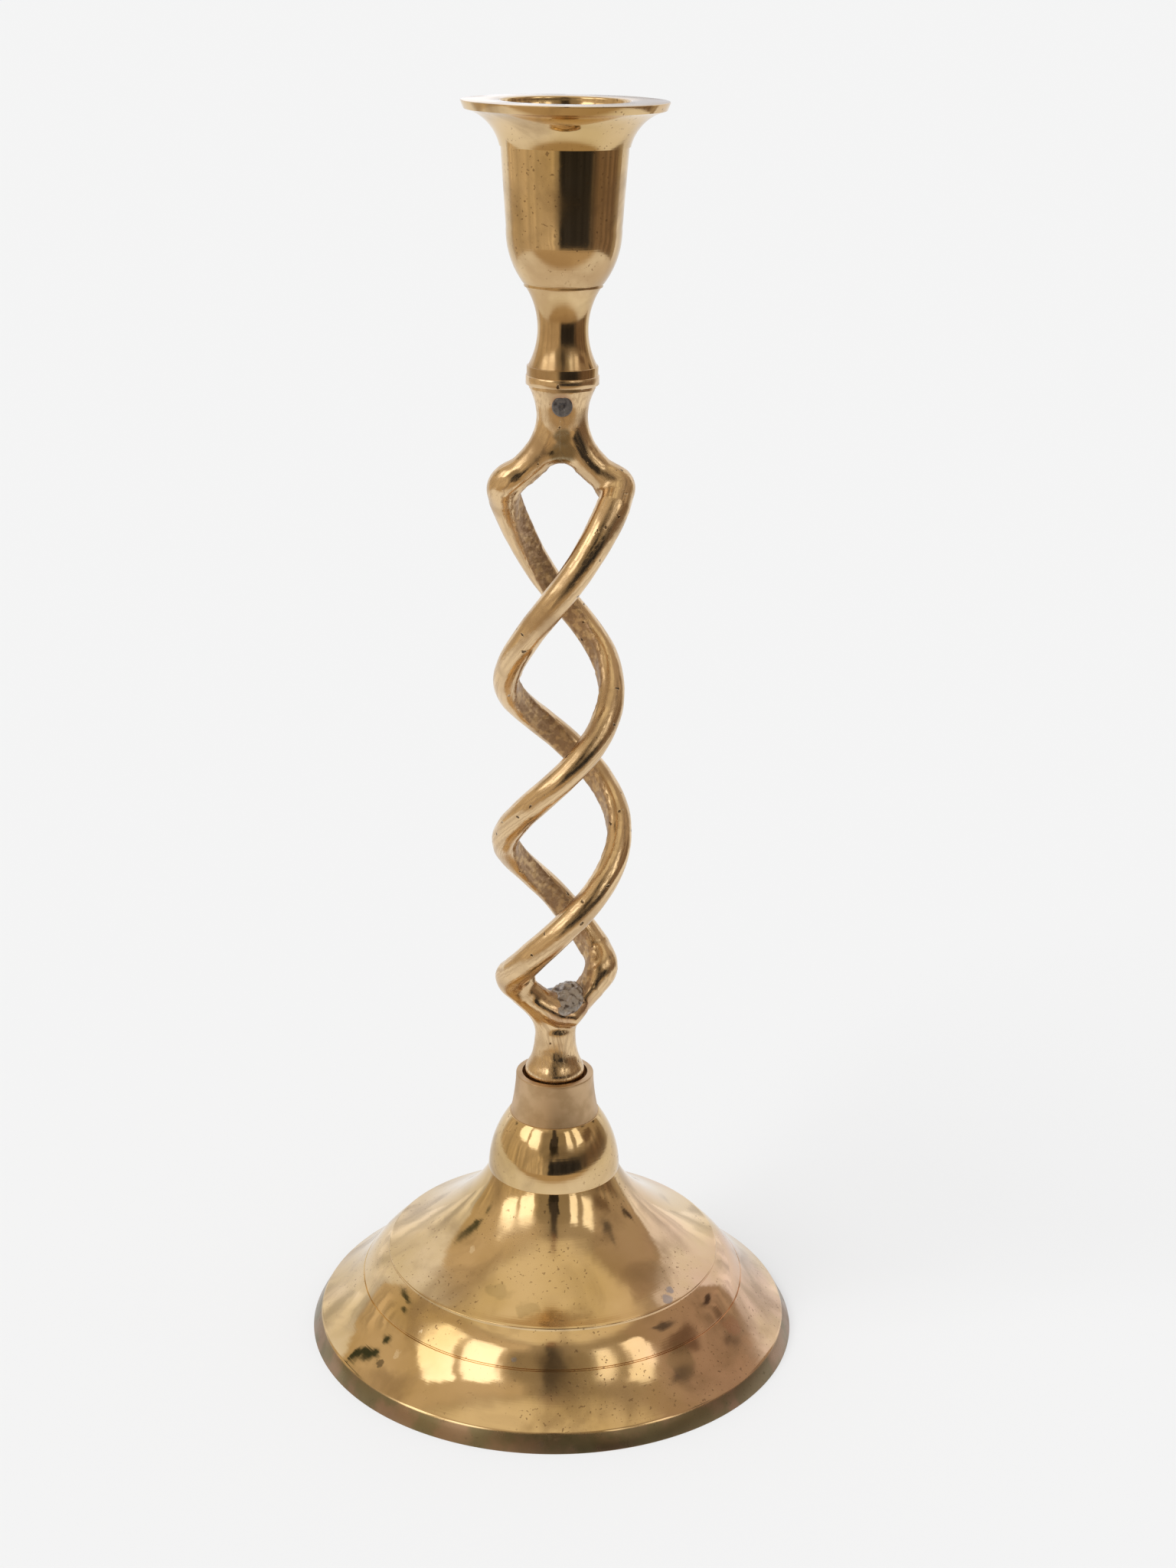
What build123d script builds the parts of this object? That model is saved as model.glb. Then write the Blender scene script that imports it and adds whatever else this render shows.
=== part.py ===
import os
from math import acos, atan2, cos, degrees, radians, sin, sqrt

from build123d import *

# A brass candlestick with an open-twist stem, 280 mm tall. It stands on the table at z = 0,
# with its axis on Z. All lengths are in millimetres.

os.makedirs("parts", exist_ok=True)

# The castings, stacked from the table up
dome_height = 40.5
knop_height = 24.0
stem_height = 162.9
socket_depth = 2.5  # how far the stem's foot drops into the knop

knop_top = dome_height + knop_height
stem_seat = knop_top - socket_depth
cup_seat = stem_seat + stem_height

# Dome: a hollow foot with a bevelled rim band, a sloped shoulder and a dished top
rim_radius = 56.7
rim_bevel = 2.1
rim_band = 3.9
rim_foot_width = 4.0
dish_radius = 38.7
dish_edge_height = 20.1
dish_step = 0.5
dish_hollow = 2.7
shoulder_bow = 0.47
groove_place_share = 0.84
groove_size = 0.25
dome_neck_radius = 14.8
dome_wall = 2.8
dome_top_wall = 4.0

# Knop: a polished bulb under a tapered collar, counterbored for the stem's foot
bulb_radius = 15.2
bulb_shoulder_radius = 10.35
bulb_height = 14.1
bulb_crown = 1.2
collar_base_radius = 10.15
collar_top_radius = 8.87
collar_cove = 0.25
socket_radius = 7.5

# Steel studs, washer and nut
foot_stud_radius = 3.0
foot_stud_tip_height = 27.0
foot_stud_chamfer = 0.5
foot_stud_clearance = 0.3
cup_stud_radius = 2.5
cup_stud_in_stem = 12.0
cup_stud_in_cup = 12.0
cup_stud_chamfer = 0.4
stud_end_gap = 0.5
thread_clearance = 0.05
washer_radius = 9.0
washer_thickness = 1.5
nut_sides = 6
nut_width = 10.0
nut_thickness = 5.0
nut_chamfer = 0.6

# Stem: foot and waist, then the lower fork, where the strands part
foot_radius = 6.8
foot_rim_height = 4.0
foot_waist_radius = 4.7
foot_waist_height = 11.0
lower_flare_radius = 14.0
crook_height = 22.0
crook_radius = 10.0

# Stem: the upper hub under the cup, and the upper fork
hub_collar_radius = 7.7
hub_collar_height = 2.0
hub_step = 0.65
hub_waist_radius = 5.45
hub_waist_drop = 8.3
upper_flare_radius = 11.0
arch_drop = 18.7
arch_radius = 14.0
flare_lean = 45.0  # degrees
fork_edge = 4.4

# Strands: two bars round a right-handed double helix, shaved flat on the inside
strand_reach = 11.8
strand_diameter = 6.4
strand_shave = 0.7
strand_foot_height = 27.4
strand_top_drop = 22.5
strand_turn = 522.0  # degrees from the upper elbow down to the lower one

# Each strand starts and ends in a swollen elbow, with a straight arm to the hub
arm_root_radius = 1.5
arm_rise = 9.4
knuckle_radius = 3.6

# Each bar was bent by hand: its height and reach at every sixth of its turn, from the top
right_height_shares = (1.0, 0.809, 0.623, 0.478, 0.320, 0.152, 0.0)
right_reach_shares = (1.04, 0.91, 0.95, 1.07, 1.15, 1.06, 0.98)
left_height_shares = (0.993, 0.756, 0.600, 0.451, 0.298, 0.151, 0.002)
left_reach_shares = (1.06, 0.99, 0.95, 0.97, 0.97, 0.95, 1.01)
strand_sections = 40
nudge_share = 0.02

# Steel peg in the front of the upper hub, and the solder over the end of the foot's stud
peg_radius = 2.2
peg_drop = 5.7
punch_radius = 0.7
solder_radius = 3.8
solder_thickness = 2.6
solder_round = 1.2

# Cup: flange, waisted neck, bead, bell and flared rim, bored for the candle
flange_radius = 7.5
flange_height = 1.9
neck_foot_radius = 7.25
neck_waist_radius = 5.3
neck_waist_height = 9.8
neck_top_radius = 7.85
neck_top_height = 18.1
bead_radius = 8.2
bead_height = 0.9
bell_foot_radius = 8.5
bell_belly_radius = 11.95
bell_belly_share = 0.415  # how far up the bell its bowl ends
bell_bowl_sagitta = 1.0
bell_top_radius = 13.1
bell_height = 27.2
flare_foot_radius = 13.35
flare_sagitta = 1.45
flare_height = 8.9
cup_rim_radius = 21.3
cup_rim_thickness = 1.7
cup_rim_bevel = 0.7
mouth_radius = 13.2
mouth_depth = 4.0
mouth_sagitta = 0.5
bore_radius = 11.2
bore_depth = 21.5
bore_floor_radius = 8.5
bore_floor_depth = 3.6
bore_floor_sagitta = 0.6

overrun = 1.0  # how far cutting tools run past a face

foot_hole_radius = foot_stud_radius + foot_stud_clearance
cup_hole_radius = cup_stud_radius + thread_clearance


def smooth(shares, place):
    """Value at place on a smooth curve through evenly spaced shares."""
    index = min(int(place), len(shares) - 2)
    part = place - index
    before = shares[max(index - 1, 0)]
    start, end = shares[index], shares[index + 1]
    after = shares[min(index + 2, len(shares) - 1)]
    rise = end - before
    bend = 2 * before - 5 * start + 4 * end - after
    twist = 3 * (start - end) + after - before
    return start + part * (rise + part * (bend + part * twist)) / 2


# Base dome: the shoulder is crowned above its middle and flares below it,
# and the groove is a small round cut in the crown
lip = (rim_radius - rim_bevel, rim_band)
dish_edge = (dish_radius, dish_edge_height)
dish_foot = (dish_radius, dish_edge_height - dish_step)
dome_neck = (dome_neck_radius, dome_height)
shoulder_angle = atan2(dish_foot[1] - lip[1], lip[0] - dish_foot[0])
under_shoulder = (
    dish_foot[0] - dome_wall * sin(shoulder_angle),
    dish_foot[1] - dome_wall * cos(shoulder_angle),
)
shoulder_middle = ((dish_foot[0] + lip[0]) / 2, (dish_foot[1] + lip[1]) / 2)
under_top = dome_height - dome_top_wall
under_neck = (dome_neck_radius - dome_wall, under_top)

with BuildPart() as base_dome:
    with BuildSketch(Plane.XZ):
        with BuildLine():
            Polyline((foot_hole_radius, under_top), (foot_hole_radius, dome_height), dome_neck)
            SagittaArc(dome_neck, dish_edge, -dish_hollow)
            Line(dish_edge, dish_foot)
            crown = SagittaArc(dish_foot, shoulder_middle, shoulder_bow)
            SagittaArc(shoulder_middle, lip, -shoulder_bow)
            Polyline(lip, (rim_radius, 0), (rim_radius - rim_foot_width, 0), under_shoulder)
            SagittaArc(under_shoulder, under_neck, dish_hollow)
            Line(under_neck, (foot_hole_radius, under_top))
        make_face()
        groove = Plane.XZ.to_local_coords(crown @ groove_place_share)
        with Locations((groove.X, groove.Y)):
            Circle(groove_size, mode=Mode.SUBTRACT)
    revolve(axis=Axis.Z)
base_dome.part.label = "base_dome"

# Base knop
bulb_top = dome_height + bulb_height

with BuildPart() as base_knop:
    with BuildSketch(Plane.XZ):
        with BuildLine():
            Polyline((0, knop_top), (0, dome_height), (bulb_radius, dome_height))
            SagittaArc((bulb_radius, dome_height), (bulb_shoulder_radius, bulb_top), -bulb_crown)
            Line((bulb_shoulder_radius, bulb_top), (collar_base_radius, bulb_top))
            SagittaArc((collar_base_radius, bulb_top), (collar_top_radius, knop_top), collar_cove)
            Line((collar_top_radius, knop_top), (0, knop_top))
        make_face()
    revolve(axis=Axis.Z)
    with Locations((0, 0, knop_top)):
        CounterBoreHole(foot_hole_radius, socket_radius, socket_depth)
base_knop.part.label = "base_knop"


# A fork is a flared neck of revolution with a round hollow, trimmed to a tapered blade.
# It is built opening upwards, with its waist at z = 0.
def build_fork(waist_radius, flare_radius, hollow_height, hollow_radius):
    with BuildPart() as fork:
        with BuildSketch(Plane.XZ):
            with BuildLine():
                Line((0, 0), (waist_radius, 0))
                flare = JernArc((waist_radius, 0), (0, 1), flare_radius, -flare_lean)
                fork_radius = (flare @ 1).X
                edge_height = hollow_height + hollow_radius - sqrt(hollow_radius**2 - fork_radius**2)
                Line(flare @ 1, (fork_radius, edge_height))
                RadiusArc((fork_radius, edge_height), (0, hollow_height), hollow_radius)
                Line((0, hollow_height), (0, 0))
            make_face()
        revolve(axis=Axis.Z)
        with BuildSketch(Plane.YZ):
            with BuildLine():
                Polyline(
                    (-waist_radius, 0),
                    (waist_radius, 0),
                    (fork_edge / 2, edge_height),
                    (-fork_edge / 2, edge_height),
                    close=True,
                )
            make_face()
        extrude(amount=fork_radius + overrun, both=True, mode=Mode.INTERSECT)
    return fork.part


strand_foot = stem_seat + strand_foot_height
strand_rise = cup_seat - strand_top_drop - strand_foot
steps = len(right_height_shares) - 1


def strand_point(strand, place):
    """Point on a strand's centre line, place counted in sixths of its turn from the top."""
    start_angle, height_shares, reach_shares = strand
    angle = radians(start_angle - strand_turn * place / steps)
    reach = strand_reach * smooth(reach_shares, place)
    height = strand_foot + strand_rise * smooth(height_shares, place)
    return Vector(reach * cos(angle), reach * sin(angle), height)


def section_plane(here, along):
    """Plane across a bar, with its x direction outwards from the stem's axis."""
    outward = Vector(here.X, here.Y, 0)
    outward -= along * (outward.dot(along) / along.dot(along))
    return Plane(here, x_dir=outward, z_dir=along)


def draw_section(plane):
    """A round with a flat towards the stem's axis."""
    round_angle = degrees(acos(2 * strand_shave / strand_diameter - 1))
    with BuildSketch(plane) as section:
        with BuildLine():
            lower = CenterArc((0, 0), strand_diameter / 2, -round_angle, round_angle)
            upper = CenterArc((0, 0), strand_diameter / 2, 0, round_angle)
            Line(upper @ 1, lower @ 0)
        make_face()
    return section.sketch


def build_strand(strand):
    """A strand from elbow to elbow, with a knuckle and a straight arm on each end."""
    sections = []
    for section in range(strand_sections + 1):
        place = steps * section / strand_sections
        before = strand_point(strand, max(place - nudge_share, 0))
        after = strand_point(strand, min(place + nudge_share, steps))
        sections.append(draw_section(section_plane(strand_point(strand, place), after - before)))
    with BuildPart() as bar:
        loft(sections)
        for elbow, side in ((0, 1), (steps, -1)):
            corner = strand_point(strand, elbow)
            elbow_reach = Vector(corner.X, corner.Y).length
            root_share = arm_root_radius / elbow_reach
            root = Vector(corner.X * root_share, corner.Y * root_share, corner.Z + side * arm_rise)
            extrude(draw_section(section_plane(corner, root - corner)), amount=(root - corner).length)
            with Locations(corner):
                Sphere(knuckle_radius)
    return bar.part


# Stem: the hubs, forks and strands are one casting
foot_waist = stem_seat + foot_waist_height
hub_waist = cup_seat - hub_waist_drop
hub_neck_radius = hub_collar_radius - hub_step
crook = stem_seat + crook_height
peg_height = cup_seat - peg_drop

with BuildPart() as upper_hub:
    with BuildSketch(Plane.XZ):
        with BuildLine():
            Polyline(
                (0, hub_waist),
                (0, cup_seat),
                (hub_collar_radius, cup_seat),
                (hub_collar_radius, cup_seat - hub_collar_height),
                (hub_neck_radius, cup_seat - hub_collar_height),
            )
            TangentArc(
                (hub_waist_radius, hub_waist),
                (hub_neck_radius, cup_seat - hub_collar_height),
                tangent=(0, 1),
            )
            Line((hub_waist_radius, hub_waist), (0, hub_waist))
        make_face()
    revolve(axis=Axis.Z)

lower_fork = build_fork(
    foot_waist_radius,
    lower_flare_radius,
    crook_height - foot_waist_height,
    crook_radius,
)
upper_fork = build_fork(
    hub_waist_radius,
    upper_flare_radius,
    arch_drop - hub_waist_drop,
    arch_radius,
)
right_strand = build_strand((0, right_height_shares, right_reach_shares))
left_strand = build_strand((180, left_height_shares, left_reach_shares))

with BuildPart() as twist_stem:
    with BuildSketch(Plane.XZ):
        with BuildLine():
            Polyline(
                (0, foot_waist),
                (0, stem_seat),
                (foot_radius, stem_seat),
                (foot_radius, stem_seat + foot_rim_height),
            )
            TangentArc(
                (foot_waist_radius, foot_waist),
                (foot_radius, stem_seat + foot_rim_height),
                tangent=(0, -1),
            )
            Line((foot_waist_radius, foot_waist), (0, foot_waist))
        make_face()
    revolve(axis=Axis.Z)
    with Locations(Location((0, 0, foot_waist), (0, 0, -strand_turn))):
        add(lower_fork)
    with Locations(Location((0, 0, hub_waist), (180, 0, 0))):
        add(upper_fork)
    add(right_strand)
    add(left_strand)
    add(upper_hub.part)
    with BuildSketch(Plane.XY.offset(stem_seat)):
        Circle(foot_stud_radius)
    extrude(amount=crook_height + overrun, mode=Mode.SUBTRACT)
    with BuildSketch(Plane.XY.offset(cup_seat)):
        Circle(cup_hole_radius)
    extrude(amount=-cup_stud_in_stem - stud_end_gap, mode=Mode.SUBTRACT)
    with BuildSketch(Plane.XZ):
        with Locations((0, peg_height)):
            Circle(peg_radius)
    extrude(amount=hub_collar_radius, mode=Mode.SUBTRACT)
twist_stem.part.label = "twist_stem"

# Steel peg: flush with the hub's front, its inner end on the cup's stud
with BuildPart() as stud_pin:
    add(upper_hub.part)
    with BuildSketch(Plane.XZ.offset(cup_stud_radius)):
        with Locations((0, peg_height)):
            Circle(peg_radius)
    extrude(amount=hub_collar_radius, mode=Mode.INTERSECT)
    peg_front = stud_pin.faces().sort_by(Axis.Y)[0].center()
    with Locations((0, peg_front.Y, peg_height)):
        Sphere(punch_radius, mode=Mode.SUBTRACT)
stud_pin.part.label = "stud_pin"

# Solder lump in the bottom of the crook, shaped by what it lies on
with BuildPart() as stud_solder:
    with BuildSketch(Plane.XY.offset(crook - solder_thickness)):
        Circle(solder_radius)
    extrude(amount=2 * solder_thickness)
    fillet(stud_solder.faces().sort_by(Axis.Z)[-1].edges(), solder_round)
    add(twist_stem.part, mode=Mode.SUBTRACT)
    with BuildSketch(Plane.XY.offset(crook)):
        Circle(solder_radius)
    extrude(amount=-solder_thickness, mode=Mode.SUBTRACT)
stud_solder.part.label = "stud_solder"

# Foot stud, from the crook down to below the nut
with BuildPart() as foot_stud:
    with BuildSketch(Plane.XY.offset(foot_stud_tip_height)):
        Circle(foot_stud_radius)
    extrude(amount=crook - foot_stud_tip_height)
    chamfer(foot_stud.edges().sort_by(Axis.Z)[0], foot_stud_chamfer)
foot_stud.part.label = "foot_stud"

# Cup stud, half in the hub and half in the cup
with BuildPart() as cup_stud:
    with BuildSketch(Plane.XY.offset(cup_seat - cup_stud_in_stem)):
        Circle(cup_stud_radius)
    extrude(amount=cup_stud_in_stem + cup_stud_in_cup)
    chamfer(cup_stud.edges().filter_by(GeomType.CIRCLE), cup_stud_chamfer)
cup_stud.part.label = "cup_stud"

# Washer and nut under the dome's top
washer_bottom = under_top - washer_thickness
nut_bottom = washer_bottom - nut_thickness

with BuildPart() as base_washer:
    with BuildSketch(Plane.XY.offset(washer_bottom)):
        Circle(washer_radius)
        Circle(foot_hole_radius, mode=Mode.SUBTRACT)
    extrude(amount=washer_thickness)
base_washer.part.label = "base_washer"

with BuildPart() as base_nut:
    with BuildSketch(Plane.XY.offset(nut_bottom)):
        RegularPolygon(nut_width / 2, nut_sides, major_radius=False)
        Circle(foot_stud_radius + thread_clearance, mode=Mode.SUBTRACT)
    extrude(amount=nut_thickness)
    with BuildSketch(Plane.XZ):
        with BuildLine():
            Polyline(
                (0, nut_bottom),
                (nut_width / 2, nut_bottom),
                (nut_width / 2 + nut_chamfer, nut_bottom + nut_chamfer / 2),
                (nut_width / 2 + nut_chamfer, washer_bottom - nut_chamfer / 2),
                (nut_width / 2, washer_bottom),
                (0, washer_bottom),
                close=True,
            )
        make_face()
    revolve(axis=Axis.Z, mode=Mode.INTERSECT)
base_nut.part.label = "base_nut"

# Candle cup
flange_top = cup_seat + flange_height
neck_waist = cup_seat + neck_waist_height
neck_top = cup_seat + neck_top_height
bead_top = neck_top + bead_height
bell_belly = (bell_belly_radius, bead_top + bell_height * bell_belly_share)
bell_top = bead_top + bell_height
cup_top = bell_top + flare_height
rim_under = (cup_rim_radius - cup_rim_bevel, cup_top - cup_rim_thickness)
bore_bottom = cup_top - bore_depth
bore_floor = bore_bottom - bore_floor_depth
stud_hole_top = cup_seat + cup_stud_in_cup + stud_end_gap

with BuildPart() as candle_cup:
    with BuildSketch(Plane.XZ):
        with BuildLine():
            Polyline(
                (0, bore_floor),
                (0, stud_hole_top),
                (cup_hole_radius, stud_hole_top),
                (cup_hole_radius, cup_seat),
                (flange_radius, cup_seat),
                (flange_radius, flange_top),
                (neck_foot_radius, flange_top),
            )
            ThreePointArc(
                (neck_foot_radius, flange_top),
                (neck_waist_radius, neck_waist),
                (neck_top_radius, neck_top),
            )
            Polyline((neck_top_radius, neck_top), (bead_radius, neck_top), (bead_radius, bead_top))
            Line((bead_radius, bead_top), (bell_foot_radius, bead_top))
            SagittaArc((bell_foot_radius, bead_top), bell_belly, -bell_bowl_sagitta)
            Polyline(bell_belly, (bell_top_radius, bell_top), (flare_foot_radius, bell_top))
            SagittaArc((flare_foot_radius, bell_top), rim_under, flare_sagitta)
            Polyline(rim_under, (cup_rim_radius, cup_top), (mouth_radius, cup_top))
            SagittaArc((mouth_radius, cup_top), (bore_radius, cup_top - mouth_depth), mouth_sagitta)
            Line((bore_radius, cup_top - mouth_depth), (bore_radius, bore_bottom))
            SagittaArc((bore_radius, bore_bottom), (bore_floor_radius, bore_floor), -bore_floor_sagitta)
            Line((bore_floor_radius, bore_floor), (0, bore_floor))
        make_face()
    revolve(axis=Axis.Z)
candle_cup.part.label = "candle_cup"

pieces = (
    base_dome,
    base_knop,
    twist_stem,
    candle_cup,
    stud_pin,
    stud_solder,
    foot_stud,
    cup_stud,
    base_washer,
    base_nut,
)
for piece in pieces:
    export_step(piece.part, f"parts/{piece.part.label}.step")
    print(f"{piece.part.label}: {len(piece.part.solids())} solid, {piece.part.volume:.1f} cubic mm")
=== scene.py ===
from math import acos, atan2, cos, pi, radians, sin, sqrt

import bmesh
import bpy
from mathutils import Matrix, Quaternion, Vector, kdtree, noise
from mathutils.geometry import interpolate_bezier


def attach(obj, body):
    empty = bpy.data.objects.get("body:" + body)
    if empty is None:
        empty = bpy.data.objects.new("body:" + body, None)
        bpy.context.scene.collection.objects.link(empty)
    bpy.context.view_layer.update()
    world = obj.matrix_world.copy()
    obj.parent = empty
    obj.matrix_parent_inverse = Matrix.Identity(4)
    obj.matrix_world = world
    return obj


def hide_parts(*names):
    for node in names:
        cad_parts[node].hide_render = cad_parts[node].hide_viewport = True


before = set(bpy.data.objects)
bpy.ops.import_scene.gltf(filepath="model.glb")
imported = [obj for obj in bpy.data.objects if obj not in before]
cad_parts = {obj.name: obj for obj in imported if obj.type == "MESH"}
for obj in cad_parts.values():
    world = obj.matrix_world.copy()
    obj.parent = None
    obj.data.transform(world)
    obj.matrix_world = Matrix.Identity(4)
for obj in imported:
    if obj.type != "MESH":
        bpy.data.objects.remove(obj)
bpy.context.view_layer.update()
scene = bpy.context.scene
scene.view_settings.view_transform = "Standard"
mm = 0.001


# Camera, fitted to the rim, flange, knop and foot circles of the photograph
camera = {
    "place": (0, -0.5014, 0.3096),
    "pitchDown": 19.25,
    "yaw": 0.758,
    "roll": 0.885,
    "lens": 55.2,
    "sensor": 36,
}


def placeCamera():
    lens = bpy.data.cameras.new("camera")
    lens.sensor_fit = "VERTICAL"
    lens.sensor_height = camera["sensor"]
    lens.lens = camera["lens"]
    pitch, yaw = radians(camera["pitchDown"]), radians(camera["yaw"])
    forward = Vector((sin(yaw) * cos(pitch), cos(yaw) * cos(pitch), -sin(pitch)))
    holder = bpy.data.objects.new("camera", lens)
    scene.collection.objects.link(holder)
    holder.location = camera["place"]
    aim = forward.to_track_quat("-Z", "Y") @ Quaternion((0, 0, 1), radians(camera["roll"]))
    holder.rotation_euler = aim.to_euler()
    scene.camera = holder


placeCamera()
print("camera placed")


# Node helpers
noiseMean = 0.5


def addNode(tree, kind, inputs=None, **settings):
    made = tree.nodes.new(kind)
    for name, value in settings.items():
        setattr(made, name, value)
    for key, value in (inputs or {}).items():
        if isinstance(value, bpy.types.NodeSocket):
            tree.links.new(value, made.inputs[key])
        else:
            made.inputs[key].default_value = value
    return made


def blendColours(tree, share, first, second):
    inputs = {0: share, 6: first, 7: second}
    return addNode(tree, "ShaderNodeMix", inputs, data_type="RGBA").outputs[2]


def fade(tree, value, low, high, start=0.0, end=1.0):
    inputs = {0: value, 1: low, 2: high, 3: start, 4: end}
    return addNode(tree, "ShaderNodeMapRange", inputs, interpolation_type="SMOOTHSTEP").outputs[0]


def combine(tree, operation, *values):
    inputs = dict(enumerate(values))
    return addNode(tree, "ShaderNodeMath", inputs, operation=operation).outputs[0]


def multiply(tree, first, second):
    return combine(tree, "MULTIPLY", first, second)


def add(tree, first, second):
    return combine(tree, "ADD", first, second)


def vectorMath(tree, operation, *values):
    return addNode(tree, "ShaderNodeVectorMath", dict(enumerate(values)), operation=operation).outputs


def cloud(tree, place, scale, detail):
    inputs = {"Vector": place, "Scale": scale, "Detail": detail}
    return addNode(tree, "ShaderNodeTexNoise", inputs).outputs[0]


def mottle(tree, place, scale, low, high, detail=4.0, distortion=0.0):
    inputs = {"Vector": place, "Scale": scale, "Detail": detail, "Distortion": distortion}
    return fade(tree, addNode(tree, "ShaderNodeTexNoise", inputs).outputs[0], low, high)


# A coloured spot on the metal: centre, size and ragged edge in millimetres
spots = {
    "waves": 0.7,                   # noise cells in the spot's size
    "detail": 3,
    "core": 0.6,                    # share of the size where the spot is full
}


def spot(tree, place, centre, size, ragged):
    inputs = {"Vector": place, "Scale": spots["waves"] / (size * mm), "Detail": spots["detail"]}
    noiseColour = addNode(tree, "ShaderNodeTexNoise", inputs).outputs[1]
    shift = vectorMath(tree, "SUBTRACT", noiseColour, (noiseMean,) * 3)[0]
    place = vectorMath(tree, "MULTIPLY_ADD", shift, (ragged * mm,) * 3, place)[0]
    gap = vectorMath(tree, "DISTANCE", place, [part * mm for part in centre])["Value"]
    return fade(tree, gap, size * mm, size * spots["core"] * mm)


def blendMarks(tree, place, colour, marks):
    shares = []
    for centre, size, ragged, shade, share in marks:
        mark = multiply(tree, spot(tree, place, centre, size, ragged), share)
        colour = blendColours(tree, mark, colour, shade)
        shares.append(mark)
    return colour, shares


def newMaterial(name):
    made = bpy.data.materials.new(name)
    made.use_nodes = True
    tree = made.node_tree
    place = addNode(tree, "ShaderNodeTexCoord").outputs["Object"]
    return made, tree, tree.nodes["Principled BSDF"], place


def reopenMaterial(made):
    tree = made.node_tree
    shader = tree.nodes["Principled BSDF"]
    place = addNode(tree, "ShaderNodeTexCoord").outputs["Object"]
    height = addNode(tree, "ShaderNodeSeparateXYZ", {0: place}).outputs[2]
    colour, rough = (shader.inputs[name].links[0].from_socket for name in ("Base Color", "Roughness"))
    return tree, shader, place, height, colour, rough


def linkSkin(tree, shader, colour, rough):
    tree.links.new(colour, shader.inputs["Base Color"])
    tree.links.new(rough, shader.inputs["Roughness"])


def linkRelief(tree, shader, relief, strength, depth):
    bump = addNode(tree, "ShaderNodeBump", {"Strength": strength, "Distance": depth, "Height": relief})
    tree.links.new(bump.outputs[0], shader.inputs["Normal"])


# Brass, polished long ago and a little tarnished since. Clouds are noise: its scale per metre, the values
# where they start and are full, its detail and its distortion
brass = {
    "clean": (0.77, 0.56, 0.31, 1),
    "golden": (0.62, 0.43, 0.19, 1),
    "goldenClouds": (45, 0.35, 0.7),
    "pink": (0.74, 0.47, 0.34, 1),
    "pinkClouds": (38, 0.35, 0.6),
    "pinkSide": (0.004, 0.04),      # metres right of the axis
    "pinkShare": 0.7,
    "tarnish": (0.34, 0.22, 0.11, 1),
    "film": (70, 0.46, 0.72, 9, 0.6),
    "filmShare": 0.65,
    "fleck": (0.16, 0.08, 0.035, 1),
    "flecks": (1300, 0.66, 0.72, 1),
    "fleckPatches": (60, 0.45, 0.6),
    "fleckShare": 0.55,
    "roughness": (0.05, 0.15),
    "roughClouds": (60, 0.3, 0.75, 6),
    "dirtRoughness": 0.12,
    "markRoughness": 0.15,
    "latheLines": (2600, 2),        # noise scale and detail
    "lineShare": 0.10,
    "dents": (110, 3),
    "relief": (0.10, 0.0006),       # strength, and depth in metres
}


def polishBrass(name, marks=()):
    made, tree, shader, place = newMaterial(name)
    across, _, height = addNode(tree, "ShaderNodeSeparateXYZ", {0: place}).outputs
    golden = mottle(tree, place, *brass["goldenClouds"])
    colour = blendColours(tree, golden, brass["clean"], brass["golden"])
    pink = multiply(tree, fade(tree, across, *brass["pinkSide"]), mottle(tree, place, *brass["pinkClouds"]))
    colour = blendColours(tree, multiply(tree, pink, brass["pinkShare"]), colour, brass["pink"])
    film = mottle(tree, place, *brass["film"])
    colour = blendColours(tree, multiply(tree, film, brass["filmShare"]), colour, brass["tarnish"])
    patches = mottle(tree, place, *brass["fleckPatches"])
    fleck = multiply(tree, mottle(tree, place, *brass["flecks"]), patches)
    colour = blendColours(tree, multiply(tree, fleck, brass["fleckShare"]), colour, brass["fleck"])
    rough = fade(tree, mottle(tree, place, *brass["roughClouds"]), 0, 1, *brass["roughness"])
    dirt = combine(tree, "MAXIMUM", film, fleck)
    rough = add(tree, rough, multiply(tree, dirt, brass["dirtRoughness"]))
    colour, shares = blendMarks(tree, place, colour, marks)
    for share in shares:
        rough = add(tree, rough, multiply(tree, share, brass["markRoughness"]))
    reach = vectorMath(tree, "LENGTH", vectorMath(tree, "MULTIPLY", place, (1, 1, 0))[0])["Value"]
    ringPlace = addNode(tree, "ShaderNodeCombineXYZ", {0: reach, 2: height}).outputs[0]
    lines = multiply(tree, cloud(tree, ringPlace, *brass["latheLines"]), brass["lineShare"])
    relief = add(tree, lines, cloud(tree, place, *brass["dents"]))
    linkRelief(tree, shader, relief, *brass["relief"])
    shader.inputs["Metallic"].default_value = 1
    linkSkin(tree, shader, colour, rough)
    return made


def around(azimuth, radius, height):
    return (radius * sin(radians(azimuth)), -radius * cos(radians(azimuth)), height)


# Turned pieces: an outline in millimetres, radius and height, spun round the axis. A bow is an arc of the
# given height over its chord, and a positive one bulges to the right of the way it runs
turned = {
    "steps": 256,
    "merge": 1e-7,        # metres
    "match": 1e-6,
    "bowSteps": 14,
    "roundSteps": 3,
    "roundProfile": 0.5,
    "sharpAngle": 40,
}


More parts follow.
